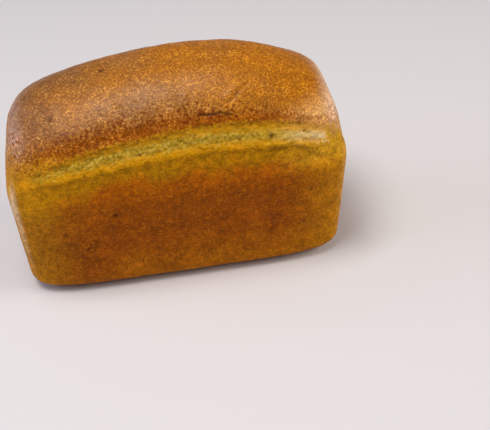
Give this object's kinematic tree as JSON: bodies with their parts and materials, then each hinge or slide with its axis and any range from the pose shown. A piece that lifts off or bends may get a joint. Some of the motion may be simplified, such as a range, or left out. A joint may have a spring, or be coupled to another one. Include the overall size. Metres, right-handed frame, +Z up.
{
  "type": "rye loaf",
  "caption": "Whole tin-baked rye loaf with straight sides, a flat bottom and a domed brown crown above a pale torn band.",
  "frame": {"origin": "middle of the flat bottom, at the middle of the loaf's length and width", "axes": "+X along the loaf, +Y across it, +Z up towards the crown"},
  "size_m": [0.22, 0.101, 0.15],
  "materials": {
    "crust": "baked crust: satin brown on the crown, matt yellow-brown on the sides"
  },
  "bodies": {
    "root": {"loaf": "crust"}
  },
  "joints": []
}
